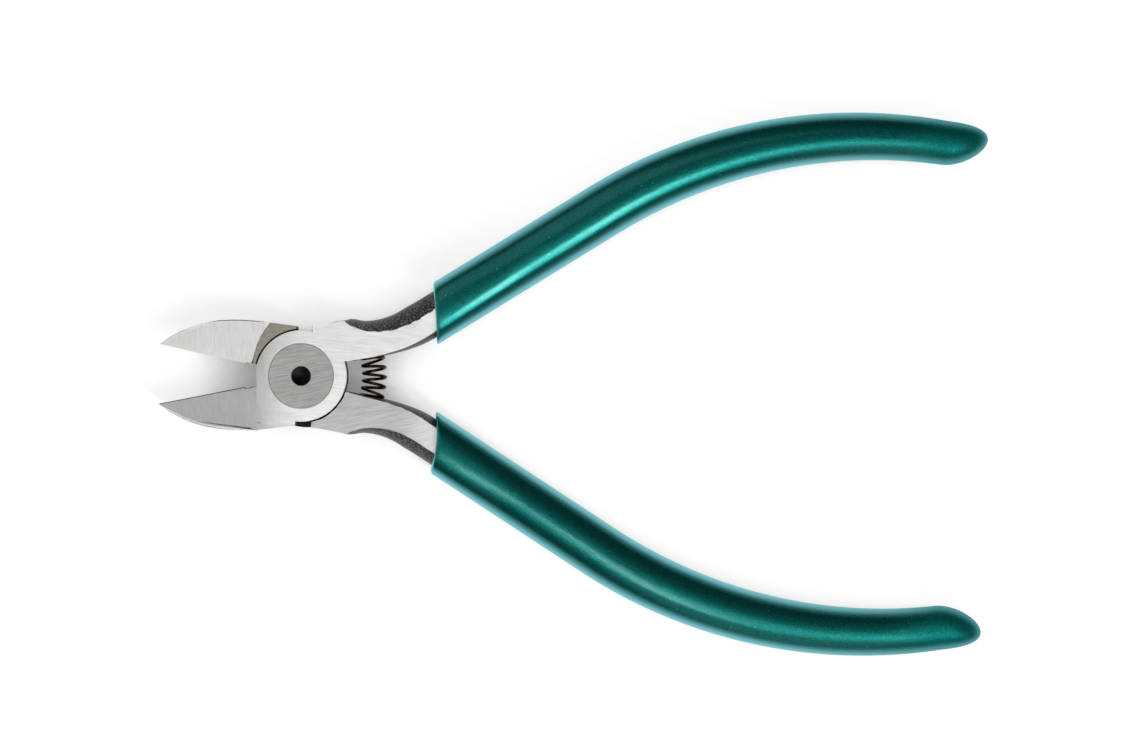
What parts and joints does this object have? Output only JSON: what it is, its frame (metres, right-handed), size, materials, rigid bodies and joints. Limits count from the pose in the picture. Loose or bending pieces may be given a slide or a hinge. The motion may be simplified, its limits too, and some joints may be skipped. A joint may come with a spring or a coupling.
{
  "type": "side cutters",
  "caption": "Slim side cutters for electronics: lapped ground steel jaws on a flush rivet, a coil spring that opens them, and curved handles in soft vinyl sleeves.",
  "frame": {"origin": "on the pivot axis, at the flat underside of the head", "axes": "+Z along the pivot axis, out of the rivet's head; +X from the pivot to the handles, halfway between them; +Y to the front half's handle"},
  "size_m": [0.1212, 0.0798, 0.0086],
  "materials": {
    "ground_steel": "ground bright on the flat faces, black forging oxide left on the tangs' rounded sides",
    "rivet_steel": "ground flush with the head, duller than it",
    "spring_wire": "oil-tempered wire, nearly black with a bronze tint",
    "green_vinyl": "dipped soft PVC, satin deep green with fine pearl flecks"
  },
  "bodies": {
    "front_arm": {"front_half": "ground_steel", "pivot_rivet": "rivet_steel", "return_spring": "spring_wire", "upper_grip": "green_vinyl"},
    "rear_arm": {"rear_half": "ground_steel", "lower_grip": "green_vinyl"}
  },
  "joints": [
    {"name": "pivot", "type": "hinge", "parent": "front_arm", "child": "rear_arm", "pos_m": [0, 0, 0.0032], "axis": [0, 0, 1], "range_deg": [-10, 23.4], "stiffness_Nm_per_rad": 0.24, "deforming": ["return_spring"]}
  ]
}
